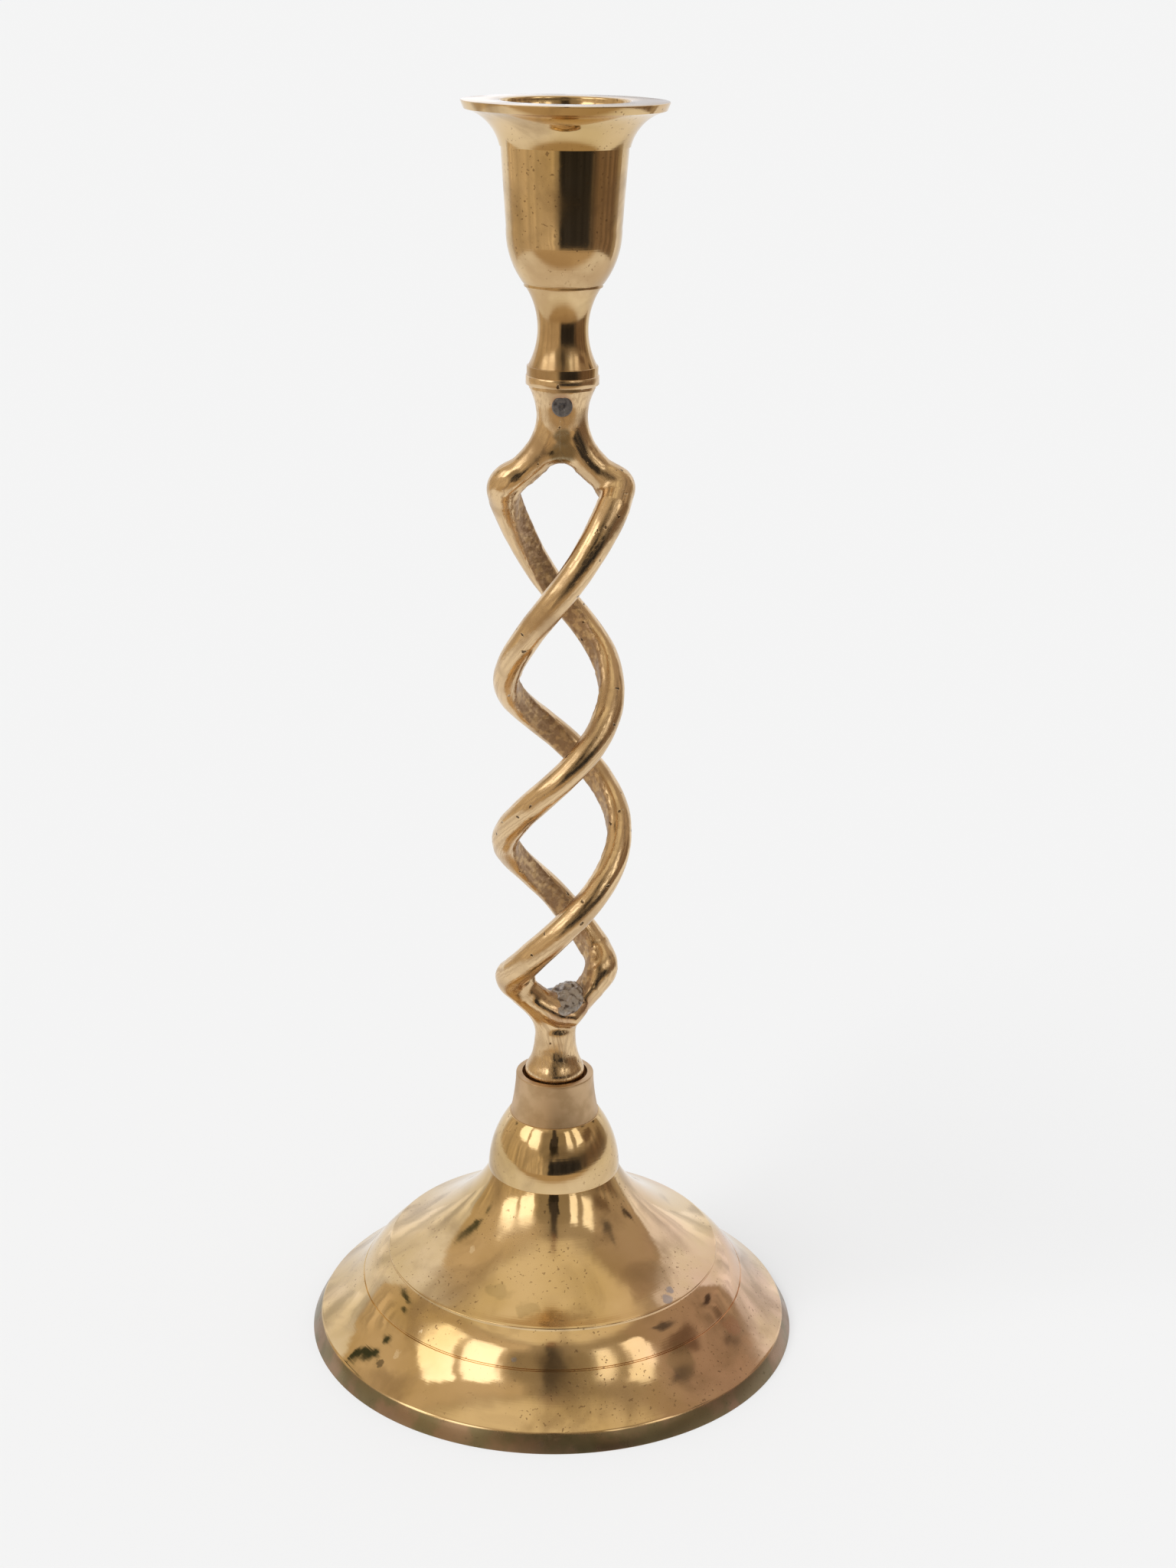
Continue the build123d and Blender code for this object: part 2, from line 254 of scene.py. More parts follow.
def bow(start, end, sagitta, steps=turned["bowSteps"]):
    start, end = Vector(start), Vector(end)
    half = (end - start) / 2
    side = Vector((half.y, -half.x)).normalized()
    radius = (half.length**2 + sagitta**2) / (2 * abs(sagitta))
    centre = start + half + side * (sagitta - radius if sagitta > 0 else sagitta + radius)
    sweep = 2 * acos(1 - abs(sagitta) / radius) * (1 if sagitta > 0 else -1)
    spoke = start - centre
    points = []
    for step in range(1, steps):
        turn = sweep * step / steps
        points.append((centre.x + spoke.x * cos(turn) - spoke.y * sin(turn),
                       centre.y + spoke.x * sin(turn) + spoke.y * cos(turn)))
    return points


def turnPiece(name, outline, corners, rounds):
    work = bmesh.new()
    verts = [work.verts.new((radius * mm, 0, height * mm)) for radius, height in outline]
    for first, second in zip(verts, verts[1:] + verts[:1]):
        if first.co.x > 0 or second.co.x > 0:
            work.edges.new((first, second))
    bmesh.ops.spin(work, geom=work.verts[:] + work.edges[:], cent=(0, 0, 0), axis=(0, 0, 1),
                   angle=2 * pi, steps=turned["steps"], use_merge=True)
    bmesh.ops.remove_doubles(work, verts=work.verts, dist=turned["merge"])
    bmesh.ops.recalc_face_normals(work, faces=work.faces)
    for (radius, height), size in zip(corners, rounds):
        ring = [edge for edge in work.edges if all(
            abs(vert.co.xy.length - radius * mm) < turned["match"]
            and abs(vert.co.z - height * mm) < turned["match"] for vert in edge.verts)]
        roundEdges(work, ring, size, True)
    return finishPiece(name, work)


def roundEdges(work, edges, size, clamp):
    bmesh.ops.bevel(work, geom=edges, offset=size * mm, offset_type="OFFSET", segments=turned["roundSteps"],
                    profile=turned["roundProfile"], affect="EDGES", material=-1, clamp_overlap=clamp)


def finishPiece(name, work, sharpAngle=turned["sharpAngle"]):
    for face in work.faces:
        face.smooth = True
    shape = bpy.data.meshes.new(name)
    work.to_mesh(shape)
    work.free()
    shape.set_sharp_from_angle(angle=radians(sharpAngle))
    piece = bpy.data.objects.new(name, shape)
    scene.collection.objects.link(piece)
    return piece


def fit(piece, material, body, slot, *nodes):
    piece.data.materials.clear()
    piece.data.materials.append(material)
    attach(piece, body)
    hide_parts(*nodes)


# Domed foot
dome = {
    "top": 40.5,
    "neck": 14.8,
    "holeRadius": 3.3,
    "dishEdge": (38.7, 20.1),
    "dishStep": 0.6,
    "dishBend": (21.6, 31.3),
    "dishBows": (0.55, 0.95),
    "dishSteps": (20, 26),
    "underHollow": 2.7,
    "lip": (54.6, 3.9),
    "shoulderLean": 34,             # slope at its top and bottom, in degrees
    "shoulderPulls": (7.5, 13.5),
    "shoulderSteps": 90,
    "grooveHeight": 13.2,
    "grooveHalves": (0.275, 0.11),  # half its width at the mouth and at the bed
    "grooveGap": 0.33,              # no other point this near its middle
    "grooveDepth": 0.3,
    "rim": 56.7,
    "footWidth": 4.0,
    "underShoulder": (36.73, 17.61),
    "underNeck": (12.0, 36.5),
    "rounds": (0.2, 0.3, 0.2),      # at the step, the lip and the rim
    "band": ((0.15, 0.125, 0.065, 1), (0.26, 0.16, 0.10, 1)),
    "bandClouds": (150, 0.4, 0.62, 6),
    "bandStart": (0.05, 0.4),       # below the lip
    "bandShare": 0.85,
    "bandRoughness": 0.2,
}


def makeDome():
    top, edge = (dome["neck"], dome["top"]), dome["dishEdge"]
    foot = (edge[0], edge[1] - dome["dishStep"])
    outline = [(dome["holeRadius"], dome["underNeck"][1]), (dome["holeRadius"], dome["top"]), top]
    outline += bow(top, dome["dishBend"], dome["dishBows"][0], dome["dishSteps"][0]) + [dome["dishBend"]]
    outline += bow(dome["dishBend"], edge, dome["dishBows"][1], dome["dishSteps"][1]) + [edge]
    lean = Vector((cos(radians(dome["shoulderLean"])), -sin(radians(dome["shoulderLean"]))))
    upperPull, lowerPull = dome["shoulderPulls"]
    start, end = Vector(foot), Vector(dome["lip"])
    pulls = (start, start + lean * upperPull, end - lean * lowerPull, end)
    curve = interpolate_bezier(*[pull.to_3d() for pull in pulls], dome["shoulderSteps"])
    outline += cutGroove([tuple(point.xy) for point in curve]) + [(dome["rim"], 0)]
    outline += [(dome["rim"] - dome["footWidth"], 0), dome["underShoulder"]]
    outline += bow(dome["underShoulder"], dome["underNeck"], -dome["underHollow"]) + [dome["underNeck"]]
    piece = turnPiece("domedFoot", outline, (edge, dome["lip"], (dome["rim"], 0)), dome["rounds"])
    material = dullBand(polishBrass("domeBrass", domeMarks()))
    fit(piece, material, "base", "polished_brass", "base_dome")


# Each mark: azimuth, radius and height, then its size, ragged edge, colour and share
def domeMarks():
    dark, copper = (0.04, 0.03, 0.02, 1), (0.55, 0.26, 0.14, 1)
    pale, olive, blue = (0.90, 0.72, 0.48, 1), (0.33, 0.25, 0.12, 1), (0.30, 0.28, 0.30, 1)
    return (
        (around(-2, 55.7, 1.9), 0.8, 1.0, dark, 0.95),
        (around(5, 56.2, 1.0), 0.9, 1.2, dark, 0.95),
        (around(44, 37.4, 20.6), 1.6, 2.0, blue, 0.6),
        (around(48, 36.0, 21.4), 1.2, 1.6, blue, 0.6),
        (around(-11, 43.9, 15.2), 1.0, 1.0, blue, 0.7),
        (around(-22, 31.0, 23.8), 3.6, 9.0, olive, 0.3),
        (around(-10, 34.4, 22.0), 3.2, 9.0, olive, 0.3),
        (around(38, 47.0, 11.0), 5.0, 9.0, olive, 0.4),
        (around(-46, 25.4, 27.9), 1.0, 2.4, pale, 0.8),
        (around(-47, 48.0, 9.8), 1.3, 3.2, pale, 0.75),
        (around(-43, 44.0, 15.0), 0.9, 2.6, pale, 0.75),
        (around(-50, 50.5, 7.2), 1.2, 3.0, dark, 0.6),
        (around(62, 47.5, 11.5), 3.4, 5.0, copper, 0.5),
    )


def dullBand(made):
    tree, shader, place, height, colour, rough = reopenMaterial(made)
    start, full = dome["bandStart"]
    share = fade(tree, height, (dome["lip"][1] - start) * mm, (dome["lip"][1] - full) * mm)
    band = blendColours(tree, mottle(tree, place, *dome["bandClouds"]), *dome["band"])
    colour = blendColours(tree, multiply(tree, share, dome["bandShare"]), colour, band)
    linkSkin(tree, shader, colour, add(tree, rough, multiply(tree, share, dome["bandRoughness"])))
    return made


def cutGroove(line):
    index = min(range(len(line)), key=lambda place: abs(line[place][1] - dome["grooveHeight"]))
    before, after = Vector(line[index - 1]), Vector(line[index + 1])
    way = (after - before).normalized()
    inward = Vector((way.y, -way.x))
    middle = (before + after) / 2
    kept = [point for point in line if (Vector(point) - middle).length > dome["grooveGap"]]
    split = sum(1 for point in kept if point[0] < middle.x)
    mouth, bed = (way * half for half in dome["grooveHalves"])
    depth = inward * dome["grooveDepth"]
    cut = [middle - mouth, middle - bed + depth, middle + bed + depth, middle + mouth]
    return kept[:split] + [tuple(point) for point in cut] + kept[split:]


makeDome()
print("domed foot made")


# Knop on the dome
knop = {
    "foot": 40.5,
    "bulb": 15.2,
    "bulbTop": (10.35, 54.6),
    "bulbBow": 1.2,
    "collarFoot": (10.15, 54.6),
    "collarTop": (8.87, 64.5),
    "collarCove": 0.25,
    "socket": (7.5, 62.0),
    "holeRadius": 3.3,
    "rounds": (0.25, 0.08, 0.15),   # at the collar's top, the bulb's top and the bulb's foot
    "matt": ((0.52, 0.35, 0.19, 1), (0.62, 0.43, 0.25, 1)),
    "mattClouds": (260, 0.35, 0.65, 6),
    "mattEdge": 0.1,
    "mattRoughness": 0.30,
}


def makeKnop():
    foot, hole = knop["foot"], knop["holeRadius"]
    rim, top = (knop["bulb"], foot), knop["collarTop"]
    outline = [(hole, foot), rim] + bow(rim, knop["bulbTop"], knop["bulbBow"]) + [knop["bulbTop"]]
    outline += [knop["collarFoot"]] + bow(knop["collarFoot"], top, -knop["collarCove"]) + [top]
    outline += [(knop["socket"][0], top[1]), knop["socket"], (hole, knop["socket"][1])]
    piece = turnPiece("turnedKnop", outline, (top, knop["bulbTop"], rim), knop["rounds"])
    material = brushCollar(polishBrass("knopBrass"))
    fit(piece, material, "base", "polished_brass", "base_knop")


def brushCollar(made):
    tree, shader, place, height, colour, rough = reopenMaterial(made)
    joint, edge = knop["bulbTop"][1], knop["mattEdge"]
    share = fade(tree, height, (joint - edge) * mm, (joint + edge) * mm)
    matt = blendColours(tree, mottle(tree, place, *knop["mattClouds"]), *knop["matt"])
    rough = add(tree, rough, multiply(tree, share, knop["mattRoughness"]))
    linkSkin(tree, shader, blendColours(tree, share, colour, matt), rough)
    return made


makeKnop()
print("knop made")


# Cup for the candle, heights from its seat on the stem
cup = {
    "seat": 224.9,
    "flange": (7.5, 1.9),
    "neckFoot": 7.25,
    "neckWaist": (5.3, 9.8),
    "neckTop": (7.85, 18.1),
    "neckSteps": 20,
    "bead": (8.2, 19.0),
    "bellFoot": 8.5,
    "belly": (11.95, 30.29),
    "bowlBow": 1.0,
    "bellTop": (13.1, 46.2),
    "flareFoot": 13.35,
    "flareBow": 1.45,
    "flareSteps": 20,
    "rim": (21.3, 55.1),
    "rimThickness": 1.7,
    "rimBevel": 0.7,
    "mouth": (13.2, 4.0),
    "mouthBow": 0.5,
    "mouthSteps": 8,
    "bore": (11.2, 21.5),
    "boreFloor": (8.5, 25.1),
    "floorBow": 0.6,
    "floorSteps": 6,
    "studHole": (2.55, 12.5),
    "rounds": (0.3, 0.4, 0.15, 0.25, 0.2),   # at the rim, mouth, flange, bead's top and bead's foot
    "neckFade": 1,                           # over the bead
    "neckRoughness": 0.07,
    "grime": (0.46, 0.28, 0.13, 1),
    "grimeClouds": (160, 0.25, 0.6, 8),
    "grimeFade": (10, 2),                    # over the bead
    "grimeShare": 0.55,
    "mouthColour": (0.40, 0.31, 0.19, 1),
    "mouthSpot": ((0, 0, 273), 13.2, 0.8),
    "mouthShare": 0.55,
}


def makeCup():
    def up(radius, height):
        return (radius, cup["seat"] + height)

    rimRadius, rimHeight = cup["rim"]
    boreRadius, boreDepth = cup["bore"]
    holeRadius, holeDepth = cup["studHole"]
    flange, neckTop, bead, belly = (up(*cup[name]) for name in ("flange", "neckTop", "bead", "belly"))
    beadFoot, bellFoot = (bead[0], neckTop[1]), (cup["bellFoot"], bead[1])
    flareFoot = up(cup["flareFoot"], cup["bellTop"][1])
    rimUnder = up(rimRadius - cup["rimBevel"], rimHeight - cup["rimThickness"])
    rim, mouth = up(rimRadius, rimHeight), up(cup["mouth"][0], rimHeight)
    bore, boreFoot = up(boreRadius, rimHeight - cup["mouth"][1]), up(boreRadius, rimHeight - boreDepth)
    boreEnd = up(cup["boreFloor"][0], rimHeight - cup["boreFloor"][1])
    outline = [(0, boreEnd[1]), up(0, holeDepth), up(holeRadius, holeDepth), up(holeRadius, 0)]
    outline += [up(cup["flange"][0], 0), flange]
    outline += neckCurve((cup["neckFoot"], flange[1]), up(*cup["neckWaist"]), neckTop)
    outline += [beadFoot, bead, bellFoot]
    outline += bow(bellFoot, belly, cup["bowlBow"]) + [belly, up(*cup["bellTop"]), flareFoot]
    outline += bow(flareFoot, rimUnder, -cup["flareBow"], cup["flareSteps"]) + [rimUnder, rim, mouth]
    outline += bow(mouth, bore, -cup["mouthBow"], cup["mouthSteps"]) + [bore, boreFoot]
    outline += bow(boreFoot, boreEnd, cup["floorBow"], cup["floorSteps"]) + [boreEnd]
    piece = turnPiece("candleCup", outline, (rim, mouth, flange, bead, beadFoot), cup["rounds"])
    fit(piece, dullNeck(polishBrass("cupBrass")), "cup", "polished_brass", "candle_cup")


# An arc through three points
def neckCurve(foot, waist, top):
    foot, waist, top = Vector(foot), Vector(waist), Vector(top)
    toWaist, toTop = waist - foot, top - foot
    cross = 2 * (toWaist.x * toTop.y - toWaist.y * toTop.x)
    centre = foot + Vector((toTop.y * toWaist.length_squared - toWaist.y * toTop.length_squared,
                            toWaist.x * toTop.length_squared - toTop.x * toWaist.length_squared)) / cross
    radius = (foot - centre).length
    first = atan2(foot.y - centre.y, foot.x - centre.x) % (2 * pi)
    last = atan2(top.y - centre.y, top.x - centre.x) % (2 * pi)
    points = []
    for step in range(cup["neckSteps"] + 1):
        angle = first + (last - first) * step / cup["neckSteps"]
        points.append((centre.x + radius * cos(angle), centre.y + radius * sin(angle)))
    return points


def dullNeck(made):
    tree, shader, place, height, colour, rough = reopenMaterial(made)
    bottom = cup["seat"] + cup["bead"][1]
    neckShare = fade(tree, height, (bottom + cup["neckFade"]) * mm, bottom * mm)
    grime = fade(tree, height, *[(bottom + over) * mm for over in cup["grimeFade"]])
    grime = multiply(tree, grime, mottle(tree, place, *cup["grimeClouds"]))
    inMouth = multiply(tree, spot(tree, place, *cup["mouthSpot"]), cup["mouthShare"])
    colour = blendColours(tree, inMouth, colour, cup["mouthColour"])
    colour = blendColours(tree, multiply(tree, grime, cup["grimeShare"]), colour, cup["grime"])
    linkSkin(tree, shader, colour, add(tree, rough, multiply(tree, neckShare, cup["neckRoughness"])))
    return made


makeCup()
print("cup made")


# Stem: one casting of two bars, bent by hand round the axis and joined at both ends. A strand's heights,
# reaches and girths are shares of the common ones, at equal parts of its turn. Pairs stand for the top
# elbow and the bottom one
stem = {
    "turn": 522,
    "reach": 11.8,
    "strandFoot": 89.4,
    "strandRise": 113.0,
    "barRadius": 3.2,
    "shave": 0.75,
    "barSides": 32,
    "sections": 90,
    "right": {
        "start": 0,
        "span": (0.06, 5.95),
        "heights": (1.0, 0.809, 0.623, 0.478, 0.320, 0.152, 0.0),
        "reaches": (1.04, 0.91, 0.95, 1.07, 1.15, 1.06, 0.98),
        "girths": (1.22, 1.0, 0.97, 1.0, 0.97, 1.0, 1.16),
        "lowerArm": ((0.6, 74.5, 4.0), (1.5, 78.3, 3.9), (2.6, 80.3, 3.8), (3.7, 81.9, 3.8),
                     (5.0, 83.4, 3.8), (7.0, 85.3, 3.7)),   # reach, height and radius
        "armShave": 0.6,
        "bends": (1.0, 2.6),
        "gussets": ((2.0, 3.4), (3.0, 3.6)),                # inset and radius
        "smoothings": (12, 26),
    },
    "left": {
        "start": 180,
        "span": (0.02, 5.95),
        "heights": (0.993, 0.756, 0.600, 0.451, 0.298, 0.151, -0.012),
        "reaches": (1.07, 1.04, 0.95, 0.97, 0.97, 0.95, 1.05),
        "girths": (1.18, 0.97, 1.0, 0.97, 1.0, 0.97, 1.20),
        "lowerArm": ((0.6, 74.5, 4.0), (1.4, 77.4, 3.9), (2.7, 79.2, 3.8), (3.9, 80.4, 3.8),
                     (5.2, 81.7, 3.8), (7.2, 83.6, 3.7)),
        "armShave": 2.4,
        "bends": (2.6, 2.9),
        "gussets": ((0.9, 3.2), (1.7, 3.4)),
        "smoothings": (30, 40),
    },
    "upperArm": ((0.5, 218.0, 4.8), (1.0, 215.0, 4.5), (2.2, 212.0, 3.95), (3.8, 209.1, 3.6),
                 (5.6, 206.8, 3.45), (8.0, 204.55, 3.3)),
    "elbowClear": 1.15,             # radii from an elbow to the next station
    "easeShares": (0, 0.25, 0.5, 0.75, 1),
    "straight": 0.05,               # bends under this aren't mitred
    "mitre": 0.80,
    "archCrown": (208.8, 2.5),      # height and radius
    "archDepth": 1.1,
    "archReach": (7.2, 204.9),
    "archSteps": 6,
    "hub": ((0, 223.5), (6.6, 223.5), (7.05, 222.4), (6.42, 221), (5.76, 219), (5.46, 217),
            (5.3, 215.6), (4.95, 214.2), (4.5, 212.6), (3.9, 211), (2.9, 209.4), (0, 208.4)),
    "web": ((216, 0.3, 4.9), (213.4, 0.8, 4.0), (211, 1.1, 3.1), (208.9, 1.2, 2.4)),   # height first
    "foot": ((0, 82.5), (2.2, 80.5), (3.9, 78), (4.72, 75.5), (4.68, 73.5), (4.8, 71.5), (5.2, 69.4),
             (5.85, 67.6), (6.55, 66.3), (6.8, 65.6), (6.85, 64.6), (6.8, 62), (0, 62)),
    "collarRing": ((0, 222.2), (7.0, 222.2), (7.05, 222.85), (7.55, 222.9), (7.7, 223.05), (7.7, 224.75),
                   (7.55, 224.9), (0, 224.9)),
    "ringSteps": 64,
    "ringMerge": 1e-6,              # metres
    "ledge": ((-10.2, -4.2, 88.3, 1.6), (-6.4, -4.2, 85.0, 2.0), (-2.5, -3.9, 82.0, 2.2),
              (1.2, -3.4, 79.8, 2.4), (3.6, -2.7, 79.4, 2.4), (5.6, -0.6, 80.6, 2.0),
              (7.6, 1.6, 83.2, 1.4)),
    "crook": ((-6.6, -3.4, 85.5, 2.4), (-2.5, -2.8, 82.4, 2.6), (1.5, -2.2, 80.4, 2.8),
              (4.6, -0.4, 80.7, 2.5), (6.8, 1.8, 82.9, 2.0)),
    "saddle": ((-7.0, -2.6, 85.8, 3.0), (-2.6, -1.6, 82.0, 3.3), (1.8, -0.6, 80.4, 3.5),
               (5.4, 1.8, 82.0, 2.6)),
    "facing": (0, -1, 0),
    "crookFacing": (0, -1, 0.2),
    "gussetDetail": 3,
    "voxel": 0.38,
    "smoothShare": 0.5,
    "smoothing": 5,
    "elbowReach": 6.5,
    "softened": ((211.5, 7.5), (81.5, 7.0)),   # height and reach
    "softening": 10,
    "innerHeights": (93, 199),
    "insideFade": (0.45, 0.4),      # start and width
    "lumps": (0.9, 0.12, 3),        # waves per millimetre, height and octaves
    "wave": (0.22, 0.10),
    "sharpAngle": 50,
}


def along(shares, place):
    index = min(int(place), len(shares) - 2)
    part = place - index
    before, after = shares[max(index - 1, 0)], shares[min(index + 2, len(shares) - 1)]
    start, end = shares[index], shares[index + 1]
    rise, bend = end - before, 2 * before - 5 * start + 4 * end - after
    twist = 3 * (start - end) + after - before
    return start + part * (rise + part * (bend + part * twist)) / 2


def strandPoint(strand, place):
    angle = radians(strand["start"] - stem["turn"] * place / (len(strand["heights"]) - 1))
    reach = stem["reach"] * along(strand["reaches"], place)
    height = stem["strandFoot"] + stem["strandRise"] * along(strand["heights"], place)
    return Vector((reach * cos(angle), reach * sin(angle), height))


def armStations(elbow, arm, shave=0):
    outward = Vector((elbow.x, elbow.y, 0)).normalized()
    return [(outward * reach + Vector((0, 0, height)), outward, radius, shave)
            for reach, height, radius in arm]


def barStations(strand):
    first, last = strand["span"]
    upper, lower = strandPoint(strand, first), strandPoint(strand, last)
    stations = armStations(upper, stem["upperArm"])
    for section in range(stem["sections"] + 1):
        place = first + (last - first) * section / stem["sections"]
        point = strandPoint(strand, place)
        radius = stem["barRadius"] * along(strand["girths"], place)
        isEnd = section in (0, stem["sections"])
        if isEnd or min((point - upper).length, (point - lower).length) > radius * stem["elbowClear"]:
            outward = Vector((point.x, point.y, 0)).normalized()
            stations.append((point, outward, radius, 0 if isEnd else stem["shave"]))
    stations += armStations(lower, strand["lowerArm"], strand["armShave"])[::-1]
    for bend, elbow in zip(strand["bends"], (upper, lower)):
        stations = easeElbow(stations, elbow, bend)
    return stations


def easeElbow(stations, elbow, bend):
    index = next(number for number, station in enumerate(stations) if station[0] == elbow)
    point, outward, radius, shave = stations[index]
    before = point + (stations[index - 1][0] - point).normalized() * bend
    after = point + (stations[index + 1][0] - point).normalized() * bend
    eased = []
    for share in stem["easeShares"]:
        place = before * (1 - share)**2 + point * 2 * share * (1 - share) + after * share**2
        eased.append((place, outward, radius, shave))
    return stations[:index] + eased + stations[index + 1:]


def sweepBar(work, stations):
    before, last, half = len(work.verts), len(stations) - 1, 0.5
    bmesh.ops.create_cone(work, cap_ends=True, segments=stem["barSides"], radius1=1, radius2=1, depth=1)
    work.verts.ensure_lookup_table()
    fresh = set(work.verts[before:])
    sides = [edge for edge in work.edges if edge.verts[0] in fresh
             and abs(edge.verts[0].co.z - edge.verts[1].co.z) > half]
    bmesh.ops.subdivide_edges(work, edges=sides, cuts=last - 1)
    work.verts.ensure_lookup_table()
    for vert in work.verts[before:]:
        index = round((half - vert.co.z) * last)
        point, outward, radius, shave = stations[index]
        into = (point - stations[max(index - 1, 0)][0]).normalized() or Vector()
        out = (stations[min(index + 1, last)][0] - point).normalized() or Vector()
        forward = (into + out).normalized()
        outward = (outward - forward * outward.dot(forward)).normalized()
        sideways = forward.cross(outward)
        inward = max(vert.co.x * radius, shave - radius) if shave else vert.co.x * radius
        offset = outward * inward + sideways * vert.co.y * radius
        bend = out - into
        if 0 < index < last and bend.length > stem["straight"]:
            halfCos = max(sqrt(max(1 - (bend.length / 2)**2, 0)), stem["mitre"])
            bend.normalize()
            offset += bend * offset.dot(bend) * (1 / halfCos - 1)
        vert.co = (point + offset) * mm


def lineStations(facing, line):
    return [(Vector(centre), Vector(facing), radius, 0) for *centre, radius in line]


def archLine(depth):
    crown, radius = stem["archCrown"]
    side, end = stem["archReach"]
    line = []
    for step in range(-stem["archSteps"], stem["archSteps"] + 1):
        share = step / stem["archSteps"]
        height = crown + (end - crown) * share * share
        line.append((side * share, depth * (1 - share * share), height, radius))
    return line


def turnSolid(work, outline):
    before = len(work.verts)
    corners = [work.verts.new((radius * mm, 0, height * mm)) for radius, height in outline]
    edges = [work.edges.new(pair) for pair in zip(corners, corners[1:])]
    bmesh.ops.spin(work, geom=corners + edges, cent=(0, 0, 0), axis=(0, 0, 1), angle=2 * pi,
                   steps=stem["ringSteps"], use_merge=True)
    work.verts.ensure_lookup_table()
    bmesh.ops.remove_doubles(work, verts=work.verts[before:], dist=stem["ringMerge"])


def makeStem():
    casting = bpy.data.objects.new("stemCasting", castStem())
    scene.collection.objects.link(casting)
    remesh = casting.modifiers.new("remesh", "REMESH")
    remesh.mode = "VOXEL"
    remesh.voxel_size = stem["voxel"] * mm
    shaped = bpy.data.meshes.new_from_object(casting.evaluated_get(bpy.context.evaluated_depsgraph_get()))
    bpy.data.objects.remove(casting)
    work = bmesh.new()
    work.from_mesh(shaped)
    smoothStem(work, work.verts, stem["smoothing"])
    for strand in (stem["right"], stem["left"]):
        for place, times in zip(strand["span"], strand["smoothings"]):
            smoothStem(work, vertsNear(work, strandPoint(strand, place), stem["elbowReach"]), times)
    for height, reach in stem["softened"]:
        smoothStem(work, vertsNear(work, Vector((0, 0, height)), reach), stem["softening"])
    markStem(work)
    print("stem triangles", sum(len(face.verts) - 2 for face in work.faces))
    turnSolid(work, stem["collarRing"])
    piece = finishPiece("twistedStem", work, stem["sharpAngle"])
    fit(piece, castBrass(), "stem", "cast_brass", "twist_stem")


def castStem():
    work = bmesh.new()
    for strand in (stem["right"], stem["left"]):
        sweepBar(work, barStations(strand))
    for side in (-1, 1):
        sweepBar(work, lineStations(stem["facing"], archLine(stem["archDepth"] * side)))
        web = [(0, depth * side, height, radius) for height, depth, radius in stem["web"]]
        sweepBar(work, lineStations(stem["facing"], web))
    for name in ("ledge", "crook", "saddle"):
        sweepBar(work, lineStations(stem["crookFacing"], stem[name]))
    for strand in (stem["right"], stem["left"]):
        for place, (inset, radius) in zip(strand["span"], strand["gussets"]):
            elbow = strandPoint(strand, place)
            centre = elbow - Vector((elbow.x, elbow.y, 0)).normalized() * inset
            bmesh.ops.create_icosphere(work, subdivisions=stem["gussetDetail"], radius=radius * mm,
                                       matrix=Matrix.Translation(centre * mm))
    for name in ("hub", "foot"):
        turnSolid(work, stem[name])
    rough = bpy.data.meshes.new("stemCasting")
    work.to_mesh(rough)
    work.free()
    return rough


def vertsNear(work, centre, reach):
    return [vert for vert in work.verts if (vert.co - centre * mm).length < reach * mm]


def smoothStem(work, verts, times):
    for _ in range(times):
        bmesh.ops.smooth_vert(work, verts=verts, factor=stem["smoothShare"], use_axis_x=True,
                              use_axis_y=True, use_axis_z=True)


def lump(point, waves, octaves):
    falloff, spacing = 1.0, 2.0
    return noise.fractal(point / mm * waves, falloff, spacing, octaves)


def markStem(work):
    centres, frames = [], []
    for stations in (barStations(stem["right"]), barStations(stem["left"])):
        length = 0
        for before, here in zip(stations, stations[1:]):
            length += (here[0] - before[0]).length
            way = (here[0] - before[0]).normalized()
            outward = (here[1] - way * here[1].dot(way)).normalized()
            centres.append(here[0] * mm)
            frames.append((outward, way.cross(outward), length))
    tree = kdtree.KDTree(len(centres))
    for index, centre in enumerate(centres):
        tree.insert(centre, index)
    tree.balance()
    grain = work.verts.layers.float_vector.new("grain")
    inside = work.verts.layers.float.new("inside")
    work.normal_update()
    lowest, highest = (height * mm for height in stem["innerHeights"])
    for vert in work.verts:
        centre, index, _ = tree.find(vert.co)
        outward, sideways, length = frames[index]
        gap = vert.co - centre
        vert[grain] = (gap.dot(outward) / mm, gap.dot(sideways) / mm, length)
        target = Vector((0, 0, min(max(vert.co.z, lowest), highest)))
        vert[inside] = vert.normal.dot((target - vert.co).normalized())
    start, width = stem["insideFade"]
    lumpWaves, lumpHeight, octaves = stem["lumps"]
    waves, waveHeight = stem["wave"]
    for vert in work.verts:
        share = min(max((vert[inside] - start) / width, 0), 1)
        rise = lump(vert.co, lumpWaves, octaves) * lumpHeight * share
        rise += noise.noise(vert.co / mm * waves) * waveHeight
        vert.co += vert.normal * rise * mm


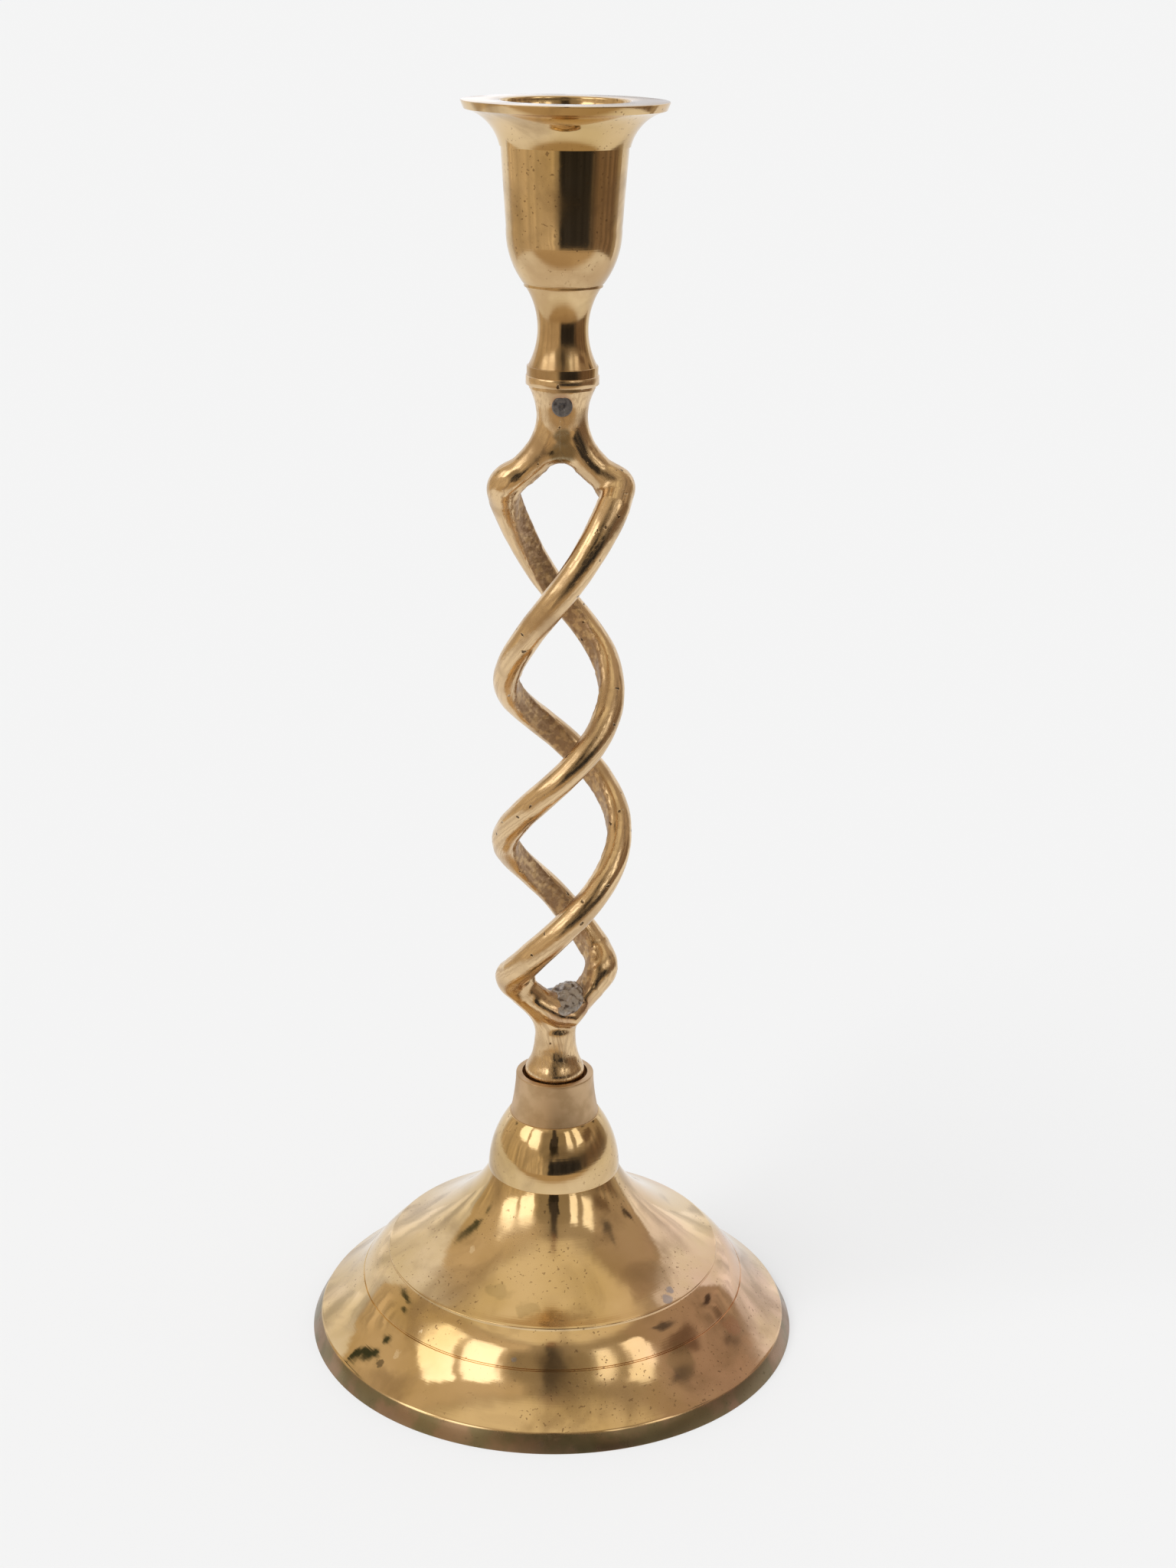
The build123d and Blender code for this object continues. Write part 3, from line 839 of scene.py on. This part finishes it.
# Its skin: drawn out along the bars where it was filed, and coarse on their inner sides
castSkin = {
    "bright": (0.78, 0.56, 0.32, 1),
    "brown": (0.50, 0.34, 0.19, 1),
    "grainStretch": (1.9, 1.9, 0.07),
    "grain": (1, 4),                # noise scale and detail
    "streaks": (0.38, 0.66),
    "streakShare": 0.6,
    "film": (110, 0.42, 0.7, 8),
    "filmShare": 0.8,
    "rough": (0.44, 0.29, 0.17, 1),
    "grit": (0.66, 0.46, 0.25, 1),
    "gritClouds": (650, 0.46, 0.62, 6),
    "edgeClouds": (300, 0.3, 0.7),
    "edgeShare": 0.25,
    "insideFade": (0.52, 0.80),
    "pit": (0.05, 0.03, 0.02, 1),
    "pits": (480, 0.70, 0.75, 2),
    "pitShare": 0.85,
    "roughness": (0.13, 0.29),
    "insideRoughness": 0.25,
    "crumbs": (900, 5),
    "streakRelief": 0.12,
    "crumbRelief": 0.7,
    "pitRelief": 0.4,
    "relief": (0.5, 0.0005),        # strength, and depth in metres
}


# Each mark: centre, size, ragged edge, colour and share
def stemMarks():
    copper, olive, dark = (0.46, 0.27, 0.17, 1), (0.24, 0.18, 0.10, 1), (0.03, 0.02, 0.02, 1)
    return (
        ((0, -6.2, 219.2), 3.1, 1.0, copper, 0.75),
        ((0.2, -5.0, 212.5), 2.6, 2.0, olive, 0.85),
        ((0.2, -4.4, 209.0), 3.6, 1.8, olive, 0.85),
        ((1.5, -6.0, 80.5), 4.0, 2.5, copper, 0.45),
        ((7.8, -2.5, 82.0), 3.0, 2.0, copper, 0.5),
        ((8.5, -12.0, 142.5), 1.0, 1.0, dark, 0.9),
    )


def castBrass():
    made, tree, shader, place = newMaterial("castBrass")
    grain = addNode(tree, "ShaderNodeAttribute", attribute_name="grain").outputs["Vector"]
    inside = addNode(tree, "ShaderNodeAttribute", attribute_name="inside").outputs["Fac"]
    grain = vectorMath(tree, "MULTIPLY", grain, castSkin["grainStretch"])[0]
    streak = cloud(tree, grain, *castSkin["grain"])
    streaks = fade(tree, streak, *castSkin["streaks"])
    film = mottle(tree, place, *castSkin["film"])
    worn = combine(tree, "MAXIMUM", multiply(tree, streaks, castSkin["streakShare"]),
                   multiply(tree, film, castSkin["filmShare"]))
    colour = blendColours(tree, worn, castSkin["bright"], castSkin["brown"])
    ragged = combine(tree, "SUBTRACT", mottle(tree, place, *castSkin["edgeClouds"]), noiseMean)
    hidden = add(tree, inside, multiply(tree, ragged, castSkin["edgeShare"]))
    hidden = fade(tree, hidden, *castSkin["insideFade"])
    grit = mottle(tree, place, *castSkin["gritClouds"])
    grit = blendColours(tree, grit, castSkin["rough"], castSkin["grit"])
    colour = blendColours(tree, hidden, colour, grit)
    colour, _ = blendMarks(tree, place, colour, stemMarks())
    pits = mottle(tree, place, *castSkin["pits"])
    colour = blendColours(tree, multiply(tree, pits, castSkin["pitShare"]), colour, castSkin["pit"])
    rough = fade(tree, combine(tree, "MAXIMUM", streaks, film), 0, 1, *castSkin["roughness"])
    rough = add(tree, rough, multiply(tree, hidden, castSkin["insideRoughness"]))
    crumbs = multiply(tree, cloud(tree, place, *castSkin["crumbs"]), hidden)
    relief = add(tree, multiply(tree, streak, castSkin["streakRelief"]),
                 multiply(tree, crumbs, castSkin["crumbRelief"]))
    relief = combine(tree, "SUBTRACT", relief, multiply(tree, pits, castSkin["pitRelief"]))
    linkRelief(tree, shader, relief, *castSkin["relief"])
    shader.inputs["Metallic"].default_value = 1
    linkSkin(tree, shader, colour, rough)
    return made


makeStem()
print("stem made")


# Steel parts keep their solids, and the peg and the solder get worn shapes of their own
steel = {
    "nodes": ("foot_stud", "cup_stud", "base_washer", "base_nut"),
    "colour": (0.30, 0.29, 0.29, 1),
    "dark": (0.135, 0.1305, 0.1305, 1),
    "clouds": (500, 0.35, 0.7, 6),
    "roughness": 0.45,
    "metallic": 1,
}


def greyMetal(name, look):
    made, tree, shader, place = newMaterial(name)
    colour = blendColours(tree, mottle(tree, place, *look["clouds"]), look["colour"], look["dark"])
    tree.links.new(colour, shader.inputs["Base Color"])
    shader.inputs["Metallic"].default_value = look["metallic"]
    shader.inputs["Roughness"].default_value = look["roughness"]
    return made, tree, shader, place


greySteel = greyMetal("greySteel", steel)[0]
for nodeName in steel["nodes"]:
    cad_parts[nodeName].data.materials.clear()
    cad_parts[nodeName].data.materials.append(greySteel)

peg = {
    "height": 219.2,
    "radius": 2.15,
    "front": 6.42,
    "back": 3.0,
    "sides": 40,
    "round": 0.35,
    "insets": 3,
    "inset": 0.22,                  # share of the radius
    "punchDepth": 0.5,
    "dents": (1.1, 0.12, 3),        # waves per millimetre, height and octaves
    "colour": (0.20, 0.185, 0.18, 1),
    "dark": (0.09, 0.08, 0.08, 1),
    "clouds": (700, 0.50, 0.66, 6),
    "roughness": 0.5,
    "metallic": 0.8,
}


def makePeg():
    work = bmesh.new()
    middle = Matrix.Translation((0, -(peg["front"] + peg["back"]) / 2 * mm, peg["height"] * mm))
    bmesh.ops.create_cone(work, cap_ends=True, segments=peg["sides"], radius1=peg["radius"] * mm,
                          radius2=peg["radius"] * mm, depth=(peg["front"] - peg["back"]) * mm,
                          matrix=middle @ Matrix.Rotation(pi / 2, 4, "X"))
    roundEdges(work, frontFace(work).edges[:], peg["round"], False)
    front = frontFace(work)
    for _ in range(peg["insets"]):
        bmesh.ops.inset_individual(work, faces=[front], thickness=peg["radius"] * peg["inset"] * mm)
    bmesh.ops.translate(work, verts=front.verts, vec=(0, peg["punchDepth"] * mm, 0))
    waves, height, octaves = peg["dents"]
    for vert in work.verts:
        vert.co.y -= lump(vert.co, waves, octaves) * height * mm
    bmesh.ops.recalc_face_normals(work, faces=work.faces)
    fit(finishPiece("hubPeg", work), greyLump("pegSteel", peg), "stem", "steel", "stud_pin")


def frontFace(work):
    return min(work.faces, key=lambda face: face.calc_center_median().y)


solder = {
    "centre": (2.4, -0.7, 83.0),
    "up": (-0.08, -0.35, 0.93),
    "size": (5.3, 4.0, 1.9),
    "detail": 5,
    "lumps": (0.75, 0.6, 4),        # waves per millimetre, height and octaves
    "sharpAngle": 180,
    "colour": (0.47, 0.42, 0.37, 1),
    "dark": (0.12, 0.09, 0.07, 1),
    "clouds": (700, 0.50, 0.66, 6),
    "roughness": 0.42,
    "metallic": 0.8,
}


def makeSolder():
    work = bmesh.new()
    up = Vector(solder["up"])
    lean = up.to_track_quat("Z", "X").to_matrix().to_4x4()
    place = Matrix.Translation(Vector(solder["centre"]) * mm) @ lean
    bmesh.ops.create_icosphere(work, subdivisions=solder["detail"], radius=mm,
                               matrix=place @ Matrix.Diagonal((*solder["size"], 1)))
    waves, height, octaves = solder["lumps"]
    for vert in work.verts:
        vert.co += up * lump(vert.co, waves, octaves) * height * mm
    work.normal_update()
    piece = finishPiece("crookSolder", work, solder["sharpAngle"])
    fit(piece, greyLump("greySolder", solder), "stem", "solder", "stud_solder")


lumpSkin = {
    "lumps": (1300, 4),             # noise scale and detail
    "relief": (0.6, 0.0005),        # strength, and depth in metres
}


def greyLump(name, look):
    made, tree, shader, place = greyMetal(name, look)
    linkRelief(tree, shader, cloud(tree, place, *lumpSkin["lumps"]), *lumpSkin["relief"])
    return made


makePeg()
makeSolder()
print("steel and solder made")


# Floor: white in the photograph's view. In reflections it is there only as far as the table reaches, and in
# a sector behind the holder.
# In reflections its front part is a painted warm shadow. Lengths are metres
floor = {
    "size": 60,
    "colour": (0.87, 0.87, 0.87, 1),
    "glow": (0.895, 0.895, 0.895, 1),
    "glowShare": 0.5,
    "front": (-0.08, -0.26),        # where its painted warm shadow, seen only in reflections, starts and is full
    # painted shadow: the table in front as the brass mirrors it, darker and warm
    "paintedFrontShadow": (0.52, 0.40, 0.26, 1),
    "tableReach": 0.58,
    "sectorSlope": 0.8,
    "edgeFade": 0.02,
}


def layFloor():
    work = bmesh.new()
    bmesh.ops.create_grid(work, x_segments=1, y_segments=1, size=floor["size"] / 2)
    piece = finishPiece("floor", work)
    made = bpy.data.materials.new("paleFloor")
    made.use_nodes = True
    tree = made.node_tree
    tree.nodes.clear()
    place = addNode(tree, "ShaderNodeTexCoord").outputs["Object"]
    across, along, _ = addNode(tree, "ShaderNodeSeparateXYZ", {0: place}).outputs
    path = addNode(tree, "ShaderNodeLightPath").outputs
    glossy = path["Is Glossy Ray"]
    seen = combine(tree, "MAXIMUM", path["Is Camera Ray"], glossy)
    seen = combine(tree, "MAXIMUM", seen, path["Is Transmission Ray"])
    # Painted shadow: glossy rays see the table in front darker and warm, standing in for the shade cast on
    # it and warm bounce light
    near = multiply(tree, fade(tree, along, *floor["front"]), glossy)
    share = combine(tree, "MAXIMUM", multiply(tree, seen, floor["glowShare"]), near)
    pale = addNode(tree, "ShaderNodeBsdfDiffuse", {"Color": floor["colour"]}).outputs[0]
    glowColour = blendColours(tree, near, floor["glow"], floor["paintedFrontShadow"])
    glow = addNode(tree, "ShaderNodeEmission", {"Color": glowColour}).outputs[0]
    reach = vectorMath(tree, "LENGTH", place)["Value"]
    side = multiply(tree, combine(tree, "ABSOLUTE", across), floor["sectorSlope"])
    behind = combine(tree, "SUBTRACT", along, side)
    inReach = fade(tree, reach, floor["tableReach"] + floor["edgeFade"], floor["tableReach"])
    white = combine(tree, "MAXIMUM", inReach, fade(tree, behind, 0, floor["edgeFade"]))
    beyond = multiply(tree, combine(tree, "SUBTRACT", 1.0, white), glossy)
    clear = addNode(tree, "ShaderNodeBsdfTransparent").outputs[0]
    mixed = mixShaders(tree, beyond, mixShaders(tree, share, pale, glow), clear)
    addNode(tree, "ShaderNodeOutputMaterial", {"Surface": mixed})
    piece.data.materials.append(made)


def mixShaders(tree, share, first, second):
    return addNode(tree, "ShaderNodeMixShader", {0: share, 1: first, 2: second}).outputs[0]


layFloor()

# The room that the brass mirrors, in degrees of azimuth, to the right of the viewer, and elevation. A patch
# has its middle and half width in azimuth, the same in elevation, its softness and its colour
room = {
    "waver": 9.0,
    "waverNoise": (7, 3),           # scale and detail
    "folds": (0.72, 1.22),
    "foldNoise": (0.16, 3),         # scale and detail
    "foldFade": (0.35, 0.65),
    "foldTop": (22, 12),
    "white": (1, 1, 1, 1),
    "plainLight": 0.62,
    "background": 0.9,
    "wall": (0.42, 0.35, 0.26, 1),
    "patches": (
        (0, 180, 76, 16, 6, (0.84, 0.75, 0.57, 1)),      # ceiling
        (180, 42, 78, 18, 12, (0.56, 0.42, 0.25, 1)),    # its far part
        (-180, 42, 78, 18, 12, (0.56, 0.42, 0.25, 1)),
        (-77, 59, 8, 50, 4, (0.66, 0.55, 0.40, 1)),      # beige wall, left
        (94, 30, 36, 24, 4, (0.46, 0.37, 0.28, 1)),      # right wall
        (21, 31, -12, 26, 3, (0.035, 0.033, 0.035, 1)),  # dark furniture
        (66, 14, -12, 26, 5, (0.10, 0.075, 0.06, 1)),
        (88, 26, -12, 24, 4, (0.24, 0.17, 0.12, 1)),     # brown furniture
        (2, 30, 30, 16, 5, (0.33, 0.27, 0.19, 1)),       # between the windows
        (-72, 11, 34, 12.5, 1.2, (1.9, 1.85, 1.75, 1)),  # left window
        (-45, 12, 34, 12.5, 1.2, (1.9, 1.85, 1.75, 1)),
        (34, 6, 34, 12, 1.0, (1.5, 1.45, 1.35, 1)),      # right window
        (57, 8, 34, 12, 1.0, (1.5, 1.45, 1.35, 1)),
        (1, 8.5, 27, 10, 1.0, (0.03, 0.025, 0.02, 1)),   # lamp over the table
        (1, 5.5, 44, 16, 1.5, (0.06, 0.05, 0.045, 1)),
        (1, 4.5, 61, 4, 1.5, (0.22, 0.11, 0.07, 1)),
        (-115, 7, 31, 2.5, 1, (0.05, 0.06, 0.04, 1)),    # dark things, left
        (-103, 2, 24, 3, 1, (0.05, 0.06, 0.04, 1)),
        (84, 6, 41, 5, 2, (0.12, 0.10, 0.09, 1)),        # dark things, right
        (80, 13, 23, 5, 3, (0.20, 0.14, 0.10, 1)),
        (114, 4, 23, 3, 1.5, (0.08, 0.06, 0.05, 1)),
    ),
    "backdrop": (126, 54, (0.93, 0.94, 0.99, 1)),
    "backdropFade": (1.5, 3),
}


def paintRoom():
    world = bpy.data.worlds.new("room")
    scene.world = world
    world.use_nodes = True
    tree = world.node_tree
    tree.nodes.clear()
    toward = addNode(tree, "ShaderNodeTexCoord").outputs["Generated"]
    across, along, up = addNode(tree, "ShaderNodeSeparateXYZ", {0: toward}).outputs
    waver = combine(tree, "SUBTRACT", cloud(tree, toward, *room["waverNoise"]), noiseMean)
    waver = multiply(tree, waver, room["waver"])
    turn = combine(tree, "ARCTAN2", across, multiply(tree, along, -1.0))
    azimuth = add(tree, combine(tree, "DEGREES", turn), waver)
    elevation = add(tree, combine(tree, "DEGREES", combine(tree, "ARCSINE", up)), waver)

    def within(value, middle, half, soft):
        gap = combine(tree, "ABSOLUTE", combine(tree, "SUBTRACT", value, middle))
        return fade(tree, gap, half + soft, half - soft)

    colour = room["wall"]
    for middle, half, height, halfHeight, soft, shade in room["patches"]:
        beside = within(azimuth, middle, half, soft)
        share = multiply(tree, beside, within(elevation, height, halfHeight, soft))
        colour = blendColours(tree, share, colour, shade)
    side, top, shade = room["backdrop"]
    sideFade, topFade = room["backdropFade"]
    share = fade(tree, combine(tree, "ABSOLUTE", azimuth), side - sideFade, side + sideFade)
    share = multiply(tree, share, fade(tree, elevation, top + topFade, top - topFade))
    colour = blendColours(tree, share, colour, shade)

    scale, detail = room["foldNoise"]
    inputs = {"W": multiply(tree, azimuth, scale), "Detail": detail, "Scale": 1}
    folds = addNode(tree, "ShaderNodeTexNoise", inputs, noise_dimensions="1D").outputs[0]
    folds = combine(tree, "SUBTRACT", fade(tree, folds, *room["foldFade"], *room["folds"]), 1.0)
    folds = add(tree, multiply(tree, folds, fade(tree, elevation, *room["foldTop"])), 1.0)
    path = addNode(tree, "ShaderNodeLightPath").outputs
    seen = combine(tree, "MAXIMUM", path["Is Camera Ray"], path["Is Transmission Ray"])
    mirrored, plain, white = (
        addNode(tree, "ShaderNodeBackground", {"Color": shade, "Strength": strength}).outputs[0]
        for shade, strength in ((colour, folds), (room["white"], room["plainLight"]),
                                (room["white"], room["background"])))
    mixed = mixShaders(tree, seen, mixShaders(tree, path["Is Glossy Ray"], plain, mirrored), white)
    addNode(tree, "ShaderNodeOutputWorld", {"Surface": mixed})


paintRoom()

window = {
    "azimuth": -57,
    "elevation": 52,
    "spread": 34,
    "strength": 1.75,
}


def hangLight():
    light = bpy.data.lights.new("windowLight", "SUN")
    light.angle = radians(window["spread"])
    light.energy = window["strength"]
    azimuth, elevation = radians(window["azimuth"]), radians(window["elevation"])
    toward = Vector((sin(azimuth) * cos(elevation), -cos(azimuth) * cos(elevation), sin(elevation)))
    holder = bpy.data.objects.new("windowLight", light)
    scene.collection.objects.link(holder)
    holder.rotation_euler = toward.to_track_quat("Z", "Y").to_euler()
    holder.visible_glossy = False


hangLight()
print("floor, room and light made")
